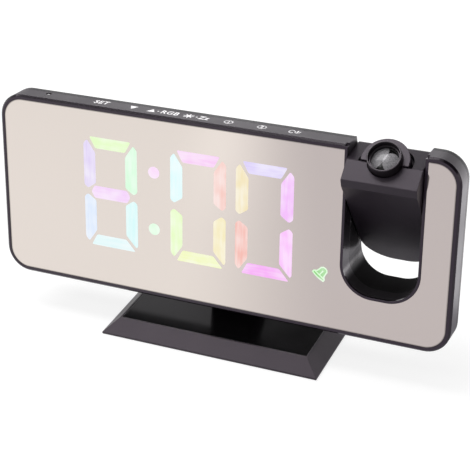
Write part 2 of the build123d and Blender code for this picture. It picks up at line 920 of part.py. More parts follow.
with BuildPart() as arm_back_shell:
    add(hollow_arm)
    add(arm_bosses(boss_radius, arm_parting + fit, screw_seat_depth + arm_wall / 2 - arm_parting))
    add(arm_slab(arm_parting + fit / 2 - clock_depth, clock_depth), mode=Mode.SUBTRACT)
    add(arm_bosses(screw_radius + fit, arm_parting, half_depth), mode=Mode.SUBTRACT)
    add(arm_bosses(screw_head_radius + fit, screw_seat_depth, half_depth), mode=Mode.SUBTRACT)
    with BuildSketch(top_of(arm, holder_foot + holder_plate)):
        Circle(pocket_radius)
    extrude(amount=head_ridge, mode=Mode.SUBTRACT)
    with BuildSketch(side_of(arm, -arm_half)):
        Circle(pin_radius + pin_fit)
    extrude(amount=2 * arm_half, mode=Mode.SUBTRACT)
finish(arm_back_shell, "arm_back_shell")

with BuildPart() as arm_screws:
    add(arm_bosses(screw_head_radius, screw_seat_depth, screw_head))
    shank_front = arm_parting - arm_screw_reach
    add(arm_bosses(screw_radius - fit, shank_front, screw_seat_depth - shank_front))
    with BuildSketch(front_of(arm, screw_seat_depth + screw_head)):
        with Locations((0, arm_screw_height)):
            with GridLocations(arm_screw_spread, 0, 2, 1):
                cross_recess()
    extrude(amount=recess_depth, mode=Mode.SUBTRACT)
finish(arm_screws, "arm_screws")

# Lens holder: a plate across the arm, a bored housing, and behind it the collar that stands in the pocket
shelf_front = head_chin - arm_wall
with BuildPart() as lens_holder:
    with BuildSketch(top_of(arm, holder_foot)):
        Rectangle(2 * (arm_half - arm_wall - fit), 2 * (half_depth - arm_wall - fit))
    extrude(amount=holder_plate)
    with BuildSketch(top_of(arm, holder_foot)):
        Circle(collar_radius)
    extrude(amount=collar_top - holder_foot)
    with BuildSketch(top_of(arm, shelf_front)):
        with Locations((0, arm_parting + run - clock_depth)):
            Rectangle(4 * slot_half, 2 * clock_depth)
    extrude(amount=collar_top, mode=Mode.SUBTRACT)
    with BuildSketch(top_of(arm, barrel_foot + barrel_flange_thickness)):
        Circle(barrel_radius + barrel_fit)
    extrude(amount=collar_top, mode=Mode.SUBTRACT)
    with BuildSketch(top_of(arm, barrel_foot - fit)):
        Circle(barrel_flange + barrel_fit)
    extrude(amount=barrel_flange_thickness + 2 * fit, mode=Mode.SUBTRACT)
    with BuildSketch(top_of(arm)):
        Circle(barrel_bore)
    extrude(amount=collar_top, mode=Mode.SUBTRACT)
finish(lens_holder, "lens_holder")

# Focus ring: the turning barrel with its foot flange; the lens cell slides up and down inside it
with BuildPart() as focus_ring:
    with BuildSketch(front_of(arm)):
        with BuildLine():
            Polyline(
                (barrel_bore, barrel_foot), (barrel_flange, barrel_foot),
                (barrel_flange, barrel_foot + barrel_flange_thickness),
                (barrel_radius, barrel_foot + barrel_flange_thickness),
                (barrel_radius, barrel_top - barrel_edge), (barrel_radius - barrel_edge, barrel_top),
                (barrel_bore, barrel_top), close=True)
        make_face()
    revolve(axis=lens_line)
finish(focus_ring, "focus_ring")

with BuildPart() as lens_cell:
    with BuildSketch(top_of(arm, cell_bottom)):
        Circle(cell_radius)
    extrude(amount=cell_height)
    with BuildSketch(top_of(arm, cell_bottom)):
        Circle(lens_radius - lens_seat)
    extrude(amount=cell_height, mode=Mode.SUBTRACT)
    with BuildSketch(top_of(arm, cell_bottom + lens_seat)):
        Circle(lens_radius)
    extrude(amount=cell_height, mode=Mode.SUBTRACT)
finish(lens_cell, "lens_cell")

lens_bottom = cell_bottom + lens_seat
glass_radius = lens_radius - pin_fit
dome_radius = (glass_radius**2 + lens_dome**2) / (2 * lens_dome)
with BuildPart() as projection_lens:
    with BuildSketch(top_of(arm, lens_bottom)):
        Circle(glass_radius)
    extrude(amount=lens_edge + lens_dome)
    with BuildSketch(front_of(arm)):
        with Locations((0, lens_bottom + lens_edge + lens_dome - dome_radius)):
            Circle(dome_radius)
            with Locations((-dome_radius, 0)):
                Rectangle(2 * dome_radius, 2 * dome_radius, mode=Mode.SUBTRACT)
    revolve(axis=lens_line, mode=Mode.INTERSECT)
finish(projection_lens, "projection_lens")

# Light engine under the holder: tube, condenser, figure film, and a board with its light source
with BuildPart() as light_tube:
    with BuildSketch(top_of(arm, holder_foot - tube_length)):
        RectangleRounded(tube_width, tube_depth, tube_corner)
        Rectangle(tube_width - 2 * tube_wall, tube_depth - 2 * tube_wall, mode=Mode.SUBTRACT)
    extrude(amount=tube_length)
finish(light_tube, "light_tube")

film_width = tube_width - 2 * tube_wall - 2 * fit
film_depth = tube_depth - 2 * tube_wall - 2 * fit
with BuildPart() as figure_film:
    with BuildSketch(top_of(arm, holder_foot - film_drop)):
        Rectangle(film_width, film_depth)
    extrude(amount=film_thickness)
finish(figure_film, "figure_film")

with BuildPart() as condenser_lens:
    with BuildSketch(top_of(arm, holder_foot - condenser_drop)):
        Rectangle(film_width, film_depth)
    extrude(amount=condenser_thickness)
    fillet(condenser_lens.faces().sort_by(lens_line)[-1].edges(), condenser_round)
finish(condenser_lens, "condenser_lens")

engine_foot = holder_foot - tube_length
with BuildPart() as projector_board:
    with BuildSketch(top_of(arm, engine_foot)):
        Rectangle(tube_width + 2 * engine_board_margin, tube_depth)
    extrude(amount=-board_thickness)
finish(projector_board, "projector_board")

with BuildPart() as projector_led:
    with BuildSketch(top_of(arm, engine_foot)):
        Rectangle(source_size, source_size)
    extrude(amount=source_height)
    with BuildSketch(top_of(arm, engine_foot + source_height)):
        Circle(source_dome)
    extrude(amount=source_dome_height)
finish(projector_led, "projector_led")


# Stand: bevelled base with a gloss panel let into its top, weight and pad beneath
def base_outline(inset):
    Rectangle(base_width - 2 * inset, base_depth - 2 * inset)


def base_top_outline(inset):
    with Locations((0, (base_bevel - base_back_bevel) / 2)):
        Rectangle(base_width - 2 * (base_bevel + inset),
                  base_depth - base_bevel - base_back_bevel - 2 * inset)


def stand_screw_places():
    return GridLocations(stand_screw_spread, 0, 2, 1)


panel_floor = base_height - panel_thickness
with BuildPart() as stand_base:
    for height in (pad_proud, pad_proud + base_edge):
        with BuildSketch(Plane.XY.offset(height)):
            base_outline(0)
    with BuildSketch(Plane.XY.offset(base_height)):
        base_top_outline(0)
    loft(ruled=True)
    with BuildSketch(Plane.XY.offset(panel_floor)):
        base_top_outline(panel_rim)
    extrude(amount=panel_thickness, mode=Mode.SUBTRACT)
    with BuildSketch(Plane.XY):
        base_outline(pad_inset)
    extrude(amount=pad_thickness, mode=Mode.SUBTRACT)
    with BuildSketch(Plane.XY.offset(pad_thickness)):
        with Locations((0, weight_y)):
            Rectangle(weight_width + 2 * fit, weight_depth + 2 * fit)
    extrude(amount=weight_thickness + fit, mode=Mode.SUBTRACT)
    with BuildSketch(Plane.XY):
        with Locations((0, neck_foot_y)):
            with stand_screw_places():
                Circle(screw_radius + fit)
    extrude(amount=base_height, mode=Mode.SUBTRACT)
    with BuildSketch(Plane.XY):
        with Locations((0, neck_foot_y)):
            with stand_screw_places():
                Circle(screw_head_radius + fit)
    extrude(amount=pad_thickness + screw_head, mode=Mode.SUBTRACT)
finish(stand_base, "stand_base")

with BuildPart() as stand_pad:
    with BuildSketch(Plane.XY):
        base_outline(pad_inset + fit)
        with Locations((0, neck_foot_y)):
            with stand_screw_places():
                Circle(screw_head_radius + fit, mode=Mode.SUBTRACT)
    extrude(amount=pad_thickness)
finish(stand_pad, "stand_pad")

with BuildPart() as stand_weight:
    with BuildSketch(Plane.XY.offset(pad_thickness)):
        with Locations((0, weight_y)):
            Rectangle(weight_width, weight_depth)
    extrude(amount=weight_thickness)
finish(stand_weight, "stand_weight")


# Neck: from the base's top, leaning forward to the case's lower slope
def neck_foot(grow):
    with Locations((0, neck_foot_y)):
        RectangleRounded(neck_width + 2 * grow, neck_foot_depth + 2 * grow, neck_corner + grow)


with BuildPart() as stand_panel:
    with BuildSketch(Plane.XY.offset(panel_floor)):
        base_top_outline(panel_rim + fit)
        with BuildSketch(mode=Mode.SUBTRACT):
            neck_foot(fit)
    extrude(amount=panel_thickness)
finish(stand_panel, "stand_panel")

neck_top = slope_plane(0, -1)
with BuildPart() as stand_neck:
    with BuildSketch(Plane.XY.offset(panel_floor)):
        neck_foot(0)
    extrude(amount=panel_thickness)
    with BuildSketch(Plane.XY.offset(base_height)):
        neck_foot(0)
    with BuildSketch(neck_top):
        RectangleRounded(neck_top_width, neck_top_depth, neck_corner)
    loft(ruled=True)
    with BuildSketch(Plane.XY.offset(panel_floor)):
        with Locations((0, neck_foot_y)):
            with stand_screw_places():
                Circle(screw_radius)
    extrude(amount=stand_screw_length, mode=Mode.SUBTRACT)
finish(stand_neck, "stand_neck")

with BuildPart() as stand_screws:
    with BuildSketch(Plane.XY.offset(pad_thickness)):
        with Locations((0, neck_foot_y)):
            with stand_screw_places():
                Circle(screw_head_radius)
    extrude(amount=screw_head)
    with BuildSketch(Plane.XY.offset(pad_thickness + screw_head)):
        with Locations((0, neck_foot_y)):
            with stand_screw_places():
                Circle(screw_radius - fit)
    extrude(amount=stand_screw_length - pad_thickness)
    with BuildSketch(Plane.XY.offset(pad_thickness)):
        with Locations((0, neck_foot_y)):
            with stand_screw_places():
                cross_recess()
    extrude(amount=recess_depth, mode=Mode.SUBTRACT)
finish(stand_screws, "stand_screws")
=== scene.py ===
from math import cos, pi, radians, sin, sqrt

import bpy
import bmesh
from mathutils import Matrix, Vector


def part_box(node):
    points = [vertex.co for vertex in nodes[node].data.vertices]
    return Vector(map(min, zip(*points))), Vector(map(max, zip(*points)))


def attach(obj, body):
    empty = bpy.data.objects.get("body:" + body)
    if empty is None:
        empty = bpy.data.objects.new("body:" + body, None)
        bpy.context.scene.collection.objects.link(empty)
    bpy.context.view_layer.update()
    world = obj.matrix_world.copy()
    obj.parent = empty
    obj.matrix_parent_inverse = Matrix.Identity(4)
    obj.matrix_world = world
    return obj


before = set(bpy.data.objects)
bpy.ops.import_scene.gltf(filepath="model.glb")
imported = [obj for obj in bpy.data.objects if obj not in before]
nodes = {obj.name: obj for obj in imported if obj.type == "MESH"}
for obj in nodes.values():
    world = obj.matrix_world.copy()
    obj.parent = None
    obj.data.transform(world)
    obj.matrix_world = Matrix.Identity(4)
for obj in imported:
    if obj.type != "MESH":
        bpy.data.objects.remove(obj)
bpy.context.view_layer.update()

mm = 0.001
print("frame loaded,", len(nodes), "nodes")


# Where the case stands: its face's centre, and its own axes (right, up, out of the face)
caseSeat = {"face": (0.0, -6.501, 54.645), "lean": 6.6, "height": 77.0}
lean = radians(caseSeat["lean"])
faceCentre = Vector(caseSeat["face"]) * mm
right = Vector((1, 0, 0))
up = Vector((0, sin(lean), cos(lean)))
out = Vector((0, -cos(lean), sin(lean)))


# The node tree that is being filled in
tree = {}


def workOn(nodeTree):
    tree["nodes"], tree["links"] = nodeTree.nodes, nodeTree.links


def newMaterial(name):
    material = bpy.data.materials.new(name)
    material.use_nodes = True
    workOn(material.node_tree)
    return material, tree["nodes"]["Principled BSDF"].inputs


def feed(socket, value):
    # A socket takes another node's output, a number, a direction or a colour
    if hasattr(value, "is_linked"):
        tree["links"].new(value, socket)
    else:
        socket.default_value = (*value, 1.0) if socket.type == "RGBA" else value


def addNode(kind, sockets, **settings):
    node = tree["nodes"].new(kind)
    for key, value in settings.items():
        setattr(node, key, value)
    for key, value in sockets.items():
        feed(node.inputs[key], value)
    return node


def objectPlace():
    return addNode("ShaderNodeTexCoord", {}).outputs["Object"]


def noiseOf(place, scale, detail=2.0, roughness=0.5):
    return addNode("ShaderNodeTexNoise", {"Vector": place, "Scale": scale, "Detail": detail,
                                          "Roughness": roughness}).outputs["Fac"]


def rangeOf(value, low, high, fromLow=0.0, fromHigh=1.0, kind="LINEAR"):
    sockets = {"Value": value, "From Min": fromLow, "From Max": fromHigh, "To Min": low, "To Max": high}
    return addNode("ShaderNodeMapRange", sockets, interpolation_type=kind).outputs["Result"]


def mathOf(operation, *values):
    return addNode("ShaderNodeMath", dict(enumerate(values)), operation=operation).outputs[0]


def mixColour(factor, first, second):
    return addNode("ShaderNodeMix", {0: factor, 6: first, 7: second}, data_type="RGBA").outputs[2]


def blendOf(factor, first, second):
    return addNode("ShaderNodeMix", {0: factor, 2: first, 3: second}, data_type="FLOAT").outputs[0]


def follow(direction, axis):
    # How much a direction follows an axis
    return addNode("ShaderNodeVectorMath", {0: direction, 1: axis}, operation="DOT_PRODUCT").outputs["Value"]


def along(place, axis):
    # How far a place lies along an axis, from the face's centre
    return mathOf("SUBTRACT", follow(place, axis), axis.dot(faceCentre))


def scaled(values, share):
    return [value * share for value in values]


# The slot: its walls are polished and its floor is matt, and both are painted darker as shade in the recess.
# Round it the frame's front gets a painted highlight and its slopes get painted shade. Spans are in mm from
# the face's centre, or tell how much a surface faces up or out.
slotLook = {"x": 66.7, "sides": (14.75, 14.90), "top": (25.5, 29.5), "foot": (-21.5, -22.5),
            "wall": (0.5, 0.7), "rough": 0.20, "bump": 0.04, "tone": 0.6,
            "floor": (0.30, 0.60), "floorRough": 0.95, "floorPaintedShade": 0.10,
            "rim": (-0.95, -0.85), "rimRough": 0.10, "rimFront": (0.90, 0.97), "rimPaintedHighlight": 2.3,
            "slopeStart": (0.40, 0.50), "slopeEnd": (0.85, 0.95), "slopePaintedShade": 0.4}


def slotFinishAndPaintedLight(place, normal, look, slot, body, rough):
    across = addNode("ShaderNodeSeparateXYZ", {0: place}).outputs[0]
    off = mathOf("ABSOLUTE", mathOf("SUBTRACT", across, slot["x"] * mm))
    rise = along(place, up)
    facing = mathOf("ABSOLUTE", follow(normal, out))
    upward = follow(normal, up)
    inSlot = rangeOf(off, 1.0, 0.0, *scaled(slot["sides"], mm))
    for end in ("top", "foot"):
        inSlot = mathOf("MULTIPLY", inSlot, rangeOf(rise, 1.0, 0.0, *scaled(slot[end], mm)))
    inSlot = mathOf("MULTIPLY", inSlot, rangeOf(facing, 1.0, 0.0, *slot["wall"]))
    onFloor = mathOf("MULTIPLY", inSlot, rangeOf(upward, 0.0, 1.0, *slot["floor"]))
    inSlot = mathOf("SUBTRACT", inSlot, onFloor)
    onRim = rangeOf(along(place, out), 0.0, 1.0, *scaled(slot["rim"], mm))
    onSlope = mathOf("MULTIPLY", rangeOf(upward, 0.0, 1.0, *slot["slopeStart"]),
                     rangeOf(upward, 1.0, 0.0, *slot["slopeEnd"]))
    onSlope = mathOf("MULTIPLY", onRim, onSlope)
    onFront = mathOf("MULTIPLY", onRim, rangeOf(facing, 0.0, 1.0, *slot["rimFront"]))
    # Painted light: the slot's floor, walls and slopes are darkened as painted shade, and the rim's front is
    # lightened as a painted highlight
    for share, tone in ((onFloor, "floorPaintedShade"), (inSlot, "tone"), (onSlope, "slopePaintedShade"),
                        (onFront, "rimPaintedHighlight")):
        body = mixColour(share, body, scaled(look["colour"], slot[tone]))
    for share, finish in ((onFloor, "floorRough"), (inSlot, "rough"), (onRim, "rimRough")):
        rough = blendOf(share, rough, slot[finish])
    return body, rough, blendOf(inSlot, look["bump"], slot["bump"])


# Moulded plastic: fine spark-erosion grain, slow gloss drift, rounded and slightly polished edges, lighter in
# colour from wear and a painted edge highlight
wearHighlightLook = {"corner": (0.86, 0.995), "least": 0.2, "patches": (0.4, 0.6), "gloss": (0.3, 0.7)}


def mouldedPlastic(name, look, slot=None):
    material, surface = newMaterial(name)
    place = objectPlace()
    slow = noiseOf(place, 1 / (look["drift"] * mm), 3.0)
    grain = noiseOf(place, 1 / (look["grain"] * mm), 2.0, 0.6)
    rounded = addNode("ShaderNodeBevel", {"Radius": look["edge"] * mm}, samples=4).outputs[0]
    normal = addNode("ShaderNodeNewGeometry", {}).outputs["Normal"]
    # Rounded edges, in patches, get a lighter colour: wear, and a painted edge highlight
    wearAndHighlightMask = rangeOf(follow(rounded, normal), 1.0, 0.0, *wearHighlightLook["corner"])
    wearAndHighlightMask = mathOf("MULTIPLY", wearAndHighlightMask, rangeOf(slow, wearHighlightLook["least"], 1.0, *wearHighlightLook["patches"]))
    body = mixColour(slow, look["colour"], look["colourFar"])
    body = mixColour(wearAndHighlightMask, body, look["edgeWearAndHighlight"])
    rough = rangeOf(slow, *look["rough"], *wearHighlightLook["gloss"])
    rough = mathOf("SUBTRACT", rough, mathOf("MULTIPLY", wearAndHighlightMask, look["polish"]))
    strength = look["bump"]
    if slot:
        body, rough, strength = slotFinishAndPaintedLight(place, normal, look, slot, body, rough)
    bump = addNode("ShaderNodeBump", {"Strength": strength, "Distance": look["grainDepth"] * mm,
                                      "Height": grain, "Normal": rounded})
    feed(surface["Base Color"], body)
    feed(surface["Roughness"], rough)
    feed(surface["Normal"], bump.outputs[0])
    feed(surface["Specular IOR Level"], look["specular"])
    feed(surface["Specular Tint"], look["gleam"])
    return material


caseLook = {"colour": (0.0155, 0.0105, 0.0170), "colourFar": (0.0180, 0.0130, 0.0195),
            "edgeWearAndHighlight": (0.022, 0.018, 0.022), "rough": (0.38, 0.45), "polish": 0.08, "grain": 0.22,
            "grainDepth": 0.02, "bump": 0.22, "drift": 18.0, "edge": 0.35, "specular": 0.5,
            "gleam": (1.0, 0.90, 1.0)}
rearLook = dict(caseLook, colour=(0.0135, 0.0115, 0.0145), colourFar=(0.0155, 0.0135, 0.0165), specular=0.25)
# The rear shell's slot walls are painted darker still, as shade in the recess
rearSlotLook = dict(slotLook, rough=0.19, bump=0.05, tone=0.25)
baseLook = dict(caseLook, colour=(0.035, 0.027, 0.035), colourFar=(0.039, 0.031, 0.039),
                edgeWearAndHighlight=(0.045, 0.038, 0.045))
# The arm's and the barrel's edges are lighter still, a stronger painted edge highlight
armLook = dict(caseLook, rough=(0.36, 0.43), edgeWearAndHighlight=(0.045, 0.039, 0.046), polish=0.14)
barrelLook = dict(caseLook, colour=(0.010, 0.008, 0.010), colourFar=(0.012, 0.010, 0.012),
                  edgeWearAndHighlight=(0.07, 0.065, 0.07), rough=(0.28, 0.36), bump=0.12, polish=0.12, edge=0.25)
keyLook = dict(caseLook, colour=(0.009, 0.0085, 0.010), rough=(0.45, 0.55))
insideLook = dict(caseLook, colour=(0.005, 0.005, 0.005), colourFar=(0.008, 0.008, 0.008), rough=(0.6, 0.7))
glossLook = {"colour": (0.0018, 0.0018, 0.0020), "colourFar": (0.0025, 0.0025, 0.0028),
             "edgeWearAndHighlight": (0.02, 0.02, 0.02), "rough": (0.13, 0.17), "polish": 0.0, "grain": 0.6,
             "grainDepth": 0.002, "bump": 0.03, "drift": 12.0, "edge": 0.3, "specular": 0.5,
             "gleam": (1.0, 0.93, 1.0)}
padLook = dict(caseLook, colour=(0.018, 0.018, 0.018), rough=(0.85, 0.95), grain=0.5, grainDepth=0.06)

caseSatin = mouldedPlastic("caseSatin", caseLook, slotLook)
rearSatin = mouldedPlastic("rearSatin", rearLook, rearSlotLook)
armSatin = mouldedPlastic("armSatin", armLook)
baseSatin = mouldedPlastic("baseSatin", baseLook)
barrelBlack = mouldedPlastic("barrelBlack", barrelLook)
keySatin = mouldedPlastic("keySatin", keyLook)
insideBlack = mouldedPlastic("insideBlack", insideLook)
glossBlack = mouldedPlastic("glossBlack", glossLook)
padRubber = mouldedPlastic("padRubber", padLook)


# Half-silvered panel: bright film with the faintest haze and a few wipe marks, and painted shade in a thin
# band along its edge
mirrorLook = {"colour": (0.745, 0.677, 0.628), "colourFar": (0.735, 0.667, 0.618), "haze": 60.0, "wipe": 9.0,
              "wipeStretch": 0.12, "wipeTurn": 35.0, "wipeSpan": (0.45, 0.75), "rough": (0.012, 0.045),
              "wide": 186.0, "tall": 73.0, "round": 8.0, "edgeBand": 0.5, "edgePaintedShade": 0.40}


def mirrorFilm(name, look):
    material, surface = newMaterial(name)
    place = objectPlace()
    haze = noiseOf(place, 1 / (look["haze"] * mm), 4.0, 0.55)
    wiped = addNode("ShaderNodeMapping", {"Vector": place, "Rotation": (0.0, radians(look["wipeTurn"]), 0.0),
                                          "Scale": (1.0, 1.0, look["wipeStretch"])}).outputs[0]
    wipe = noiseOf(wiped, 1 / (look["wipe"] * mm), 3.0, 0.6)
    squares = []
    for axis, side in ((right, look["wide"]), (up, look["tall"])):
        past = mathOf("SUBTRACT", mathOf("ABSOLUTE", along(place, axis)), (side / 2 - look["round"]) * mm)
        past = mathOf("MAXIMUM", past, 0.0)
        squares.append(mathOf("MULTIPLY", past, past))
    reach = mathOf("POWER", mathOf("ADD", *squares), 0.5)
    # Painted shade: the film is darkened in a thin band along its edge, where it meets the bezel
    lit = rangeOf(reach, 1.0, look["edgePaintedShade"], (look["round"] - look["edgeBand"]) * mm, look["round"] * mm)
    film = mixColour(haze, look["colour"], look["colourFar"])
    feed(surface["Base Color"], mixColour(lit, (0.0, 0.0, 0.0), film))
    feed(surface["Roughness"], rangeOf(wipe, *look["rough"], *look["wipeSpan"]))
    feed(surface["Metallic"], 1.0)
    return material


filmMirror = mirrorFilm("filmMirror", mirrorLook)


# Metal of the screws, springs and chips
steelLook = {"drift": 900.0, "dull": 0.8, "spread": 0.15}


def steel(name, colour, rough):
    material, surface = newMaterial(name)
    drift = noiseOf(objectPlace(), steelLook["drift"], 3.0)
    feed(surface["Base Color"], mixColour(drift, colour, scaled(colour, steelLook["dull"])))
    feed(surface["Roughness"], rangeOf(drift, rough, rough + steelLook["spread"]))
    feed(surface["Metallic"], 1.0)
    return material


zincSteel = steel("zincSteel", (0.62, 0.62, 0.63), 0.28)
blackScrew = steel("blackScrew", (0.06, 0.06, 0.065), 0.35)
ledChip = steel("ledChip", (0.80, 0.76, 0.52), 0.5)


# Circuit board: lacquer over a grid of tracks
boardLook = {"colour": (0.012, 0.075, 0.030), "dark": 0.8, "track": 1.8, "lines": 160.0, "rough": 0.35}


def lacquer(name, look):
    material, surface = newMaterial(name)
    colour = look["colour"]
    tracks = addNode("ShaderNodeTexBrick", {"Vector": objectPlace(), "Scale": look["lines"], "Color1": colour,
                                            "Color2": scaled(colour, look["dark"]),
                                            "Mortar": scaled(colour, look["track"])})
    feed(surface["Base Color"], tracks.outputs["Color"])
    feed(surface["Roughness"], look["rough"])
    return material


greenBoard = lacquer("greenBoard", boardLook)


# Clear glass with a little dust
glassLook = {"colour": (0.95, 0.97, 1.0), "ior": 1.52, "dust": 0.5, "dustSpan": (0.5, 0.8), "rough": 0.08}


def opticGlass(name, look):
    material, surface = newMaterial(name)
    dust = noiseOf(objectPlace(), 1 / (look["dust"] * mm), 4.0)
    feed(surface["Roughness"], rangeOf(dust, 0.0, look["rough"], *look["dustSpan"]))
    feed(surface["Base Color"], look["colour"])
    feed(surface["Transmission Weight"], 1.0)
    feed(surface["IOR"], look["ior"])
    return material


lensGlass = opticGlass("lensGlass", glassLook)


# Pale plastic with slow clouds in it, for the diffusers, the sensor's dome and the print; on the sensor's
# dome the pale colour is a painted highlight
cloudLook = {"size": 300.0, "dim": 0.9}


def diffuserPlastic(name, colour, rough=0.5):
    material, surface = newMaterial(name)
    cloud = noiseOf(objectPlace(), cloudLook["size"], 3.0)
    feed(surface["Base Color"], mixColour(cloud, colour, scaled(colour, cloudLook["dim"])))
    feed(surface["Roughness"], rough)
    return material


# The sensor's pale colour is a painted highlight of its clear dome
sensorPaintedHighlight = diffuserPlastic("sensorPaintedHighlight", (0.80, 0.80, 0.80), 0.12)
milkWhite = diffuserPlastic("milkWhite", (0.72, 0.71, 0.69))
inkWhite = diffuserPlastic("inkWhite", (1.0, 0.98, 1.0))


# Front lens: painted reflections, two lobes of light that cross in its colour and dark where neither reaches,
# with a painted highlight ring near its rim, under a thin clear coat
lobeLook = {"radius": 5.2, "tilt": 33.4, "grain": 0.35, "grainSpan": (0.35, 0.65), "grainTone": (0.55, 1.45),
            "tint": (1.0, 0.97, 1.02), "depths": 0.006, "rough": (0.10, 0.22), "edge": (0.93, 1.05),
            "rim": 0.10, "rimHighlightSpan": (0.80, 0.90), "specular": 0.3, "coat": 0.08, "coatRough": 0.04,
            "lobes": ({"at": (-0.47, 0.12), "half": (0.53, 1.00), "turn": 21.0, "tone": 0.25},
                      {"at": (0.46, -0.15), "half": (0.56, 0.72), "turn": 0.0, "tone": 0.27})}


def paintedLobeReflection(spans, lobe, edge):
    # The lobe's painted reflection: its tone inside its ellipse, and 0 outside it
    turn = radians(lobe["turn"])
    offs = [mathOf("SUBTRACT", span, middle) for span, middle in zip(spans, lobe["at"])]
    squares = []
    for half, shares in zip(lobe["half"], ((cos(turn), -sin(turn)), (sin(turn), cos(turn)))):
        off = mathOf("ADD", *[mathOf("MULTIPLY", value, share / half) for value, share in zip(offs, shares)])
        squares.append(mathOf("MULTIPLY", off, off))
    return rangeOf(mathOf("ADD", *squares), lobe["tone"], 0.0, *edge)


def paintedReflectionLens(name, look):
    material, surface = newMaterial(name)
    place = objectPlace()
    low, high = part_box("projection_lens")
    centre = (Vector(low) + Vector(high)) / 2
    tilt = radians(look["tilt"])
    radius = look["radius"] * mm
    spans = [mathOf("SUBTRACT", follow(place, axis / radius), axis.dot(centre) / radius)
             for axis in (right, Vector((0, cos(tilt), sin(tilt))))]
    grain = noiseOf(place, 1 / (look["grain"] * mm), 3.0, 0.7)
    # Painted reflections: the two lobes' tones go into the lens's colour
    tone = mathOf("ADD", *[paintedLobeReflection(spans, lobe, look["edge"]) for lobe in look["lobes"]])
    reach = mathOf("ADD", *[mathOf("MULTIPLY", span, span) for span in spans])
    # Painted highlight: a thin light ring just inside the lens's rim
    tone = mathOf("ADD", tone, rangeOf(reach, 0.0, look["rim"], *look["rimHighlightSpan"]))
    tone = mathOf("MULTIPLY", tone, rangeOf(grain, *look["grainTone"], *look["grainSpan"]))
    shades = [mathOf("ADD", mathOf("MULTIPLY", tone, share), look["depths"]) for share in look["tint"]]
    feed(surface["Base Color"], addNode("ShaderNodeCombineColor", dict(enumerate(shades))).outputs[0])
    feed(surface["Roughness"], rangeOf(grain, *look["rough"]))
    feed(surface["Specular IOR Level"], look["specular"])
    feed(surface["Coat Weight"], look["coat"])
    feed(surface["Coat Roughness"], look["coatRough"])
    return material


lensPaintedReflections = paintedReflectionLens("lensPaintedReflections", lobeLook)
print("finishes made")

finishOf = {"mirror_panel": filmMirror, "stand_panel": glossBlack, "stand_pad": padRubber,
            "rear_shell": rearSatin, "light_sensor": sensorPaintedHighlight, "condenser_lens": lensGlass,
            "projection_lens": lensPaintedReflections, "display_leds": ledChip, "projector_led": ledChip,
            "case_screws": blackScrew, "arm_screws": blackScrew, "lens_holder": armSatin,
            "stand_base": baseSatin, "stand_neck": baseSatin, "focus_ring": barrelBlack,
            "lens_cell": barrelBlack}
insideNames = ("light_mask", "board_connector", "key_switches", "light_tube", "figure_film", "speaker")
metalNames = ("backup_battery", "battery_contact", "power_socket", "stand_weight", "stand_screws")
for name, part in nodes.items():
    if name.endswith("_board"):
        finish = greenBoard
    elif name in insideNames:
        finish = insideBlack
    elif name.startswith("key_"):
        finish = keySatin
    elif name.startswith("arm_") and name.endswith("_shell"):
        finish = armSatin
    elif name.endswith("_figure") or name in ("colon_dots", "alarm_symbol"):
        finish = milkWhite
    elif name.startswith("hinge_") or name in metalNames:
        finish = zincSteel
    else:
        finish = finishOf.get(name, caseSatin)
    if not part.material_slots:
        part.data.materials.append(finish)
    for socket in part.material_slots:
        socket.material = finish
print("finishes given to the nodes")


def onFace(u, w, proud):
    return faceCentre + right * (u * mm) + up * (w * mm) + out * (proud * mm)


def onTop(u, v, proud):
    return faceCentre + right * (u * mm) - out * (v * mm) + up * ((caseSeat["height"] / 2 + proud) * mm)


def pieceOf(name, mesh, material):
    # The mesh becomes a piece that rides on the clock
    mesh.materials.clear()
    mesh.materials.append(material)
    piece = bpy.data.objects.new(name, mesh)
    bpy.context.scene.collection.objects.link(piece)
    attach(piece, "clock")


def plateFrom(name, outlines, place, proud, material, thickness=0.025, soft=0.0):
    # Thin plate with a filled face for each outline, laid on the face or the top; a soft one fades at its rim
    mesh = bpy.data.meshes.new(name)
    work = bmesh.new()
    core = work.verts.layers.float.new("core")
    for outline in outlines:
        top = [work.verts.new(place(a, b, proud)) for a, b in outline]
        low = [work.verts.new(place(a, b, proud - thickness)) for a, b in outline]
        face = work.faces.new(top)
        work.faces.new(low[::-1])
        for k in range(len(top)):
            n = (k + 1) % len(top)
            work.faces.new((top[n], top[k], low[k], low[n]))
        if soft:
            bmesh.ops.inset_individual(work, faces=[face], thickness=soft * mm, use_even_offset=True)
            for corner in face.verts:
                corner[core] = 1.0
    bmesh.ops.recalc_face_normals(work, faces=work.faces)
    work.to_mesh(mesh)
    work.free()
    pieceOf(name, mesh, material)


def disc(x, y, radius, steps=20):
    turns = [2 * pi * k / steps for k in range(steps)]
    return [(x + radius * cos(turn), y + radius * sin(turn)) for turn in turns]


def arcLine(x, y, radius, start, end, steps=12):
    turns = [radians(start + (end - start) * k / steps) for k in range(steps + 1)]
    return [(x + radius * cos(turn), y + radius * sin(turn)) for turn in turns]


def strokeOutlines(points, width, overlap=0.3):
    # A line of short four-cornered pieces, one for each step of the way, each a little longer than its step
    pieces = []
    for (ax, ay), (bx, by) in zip(points, points[1:]):
        dx, dy = bx - ax, by - ay
        long = sqrt(dx * dx + dy * dy) or 1.0
        nx, ny = -dy / long * width / 2, dx / long * width / 2
        ex, ey = dx / long * width * overlap, dy / long * width * overlap
        pieces.append([(ax - ex + nx, ay - ey + ny), (ax - ex - nx, ay - ey - ny),
                       (bx + ex - nx, by + ey - ny), (bx + ex + nx, by + ey + ny)])
    return pieces


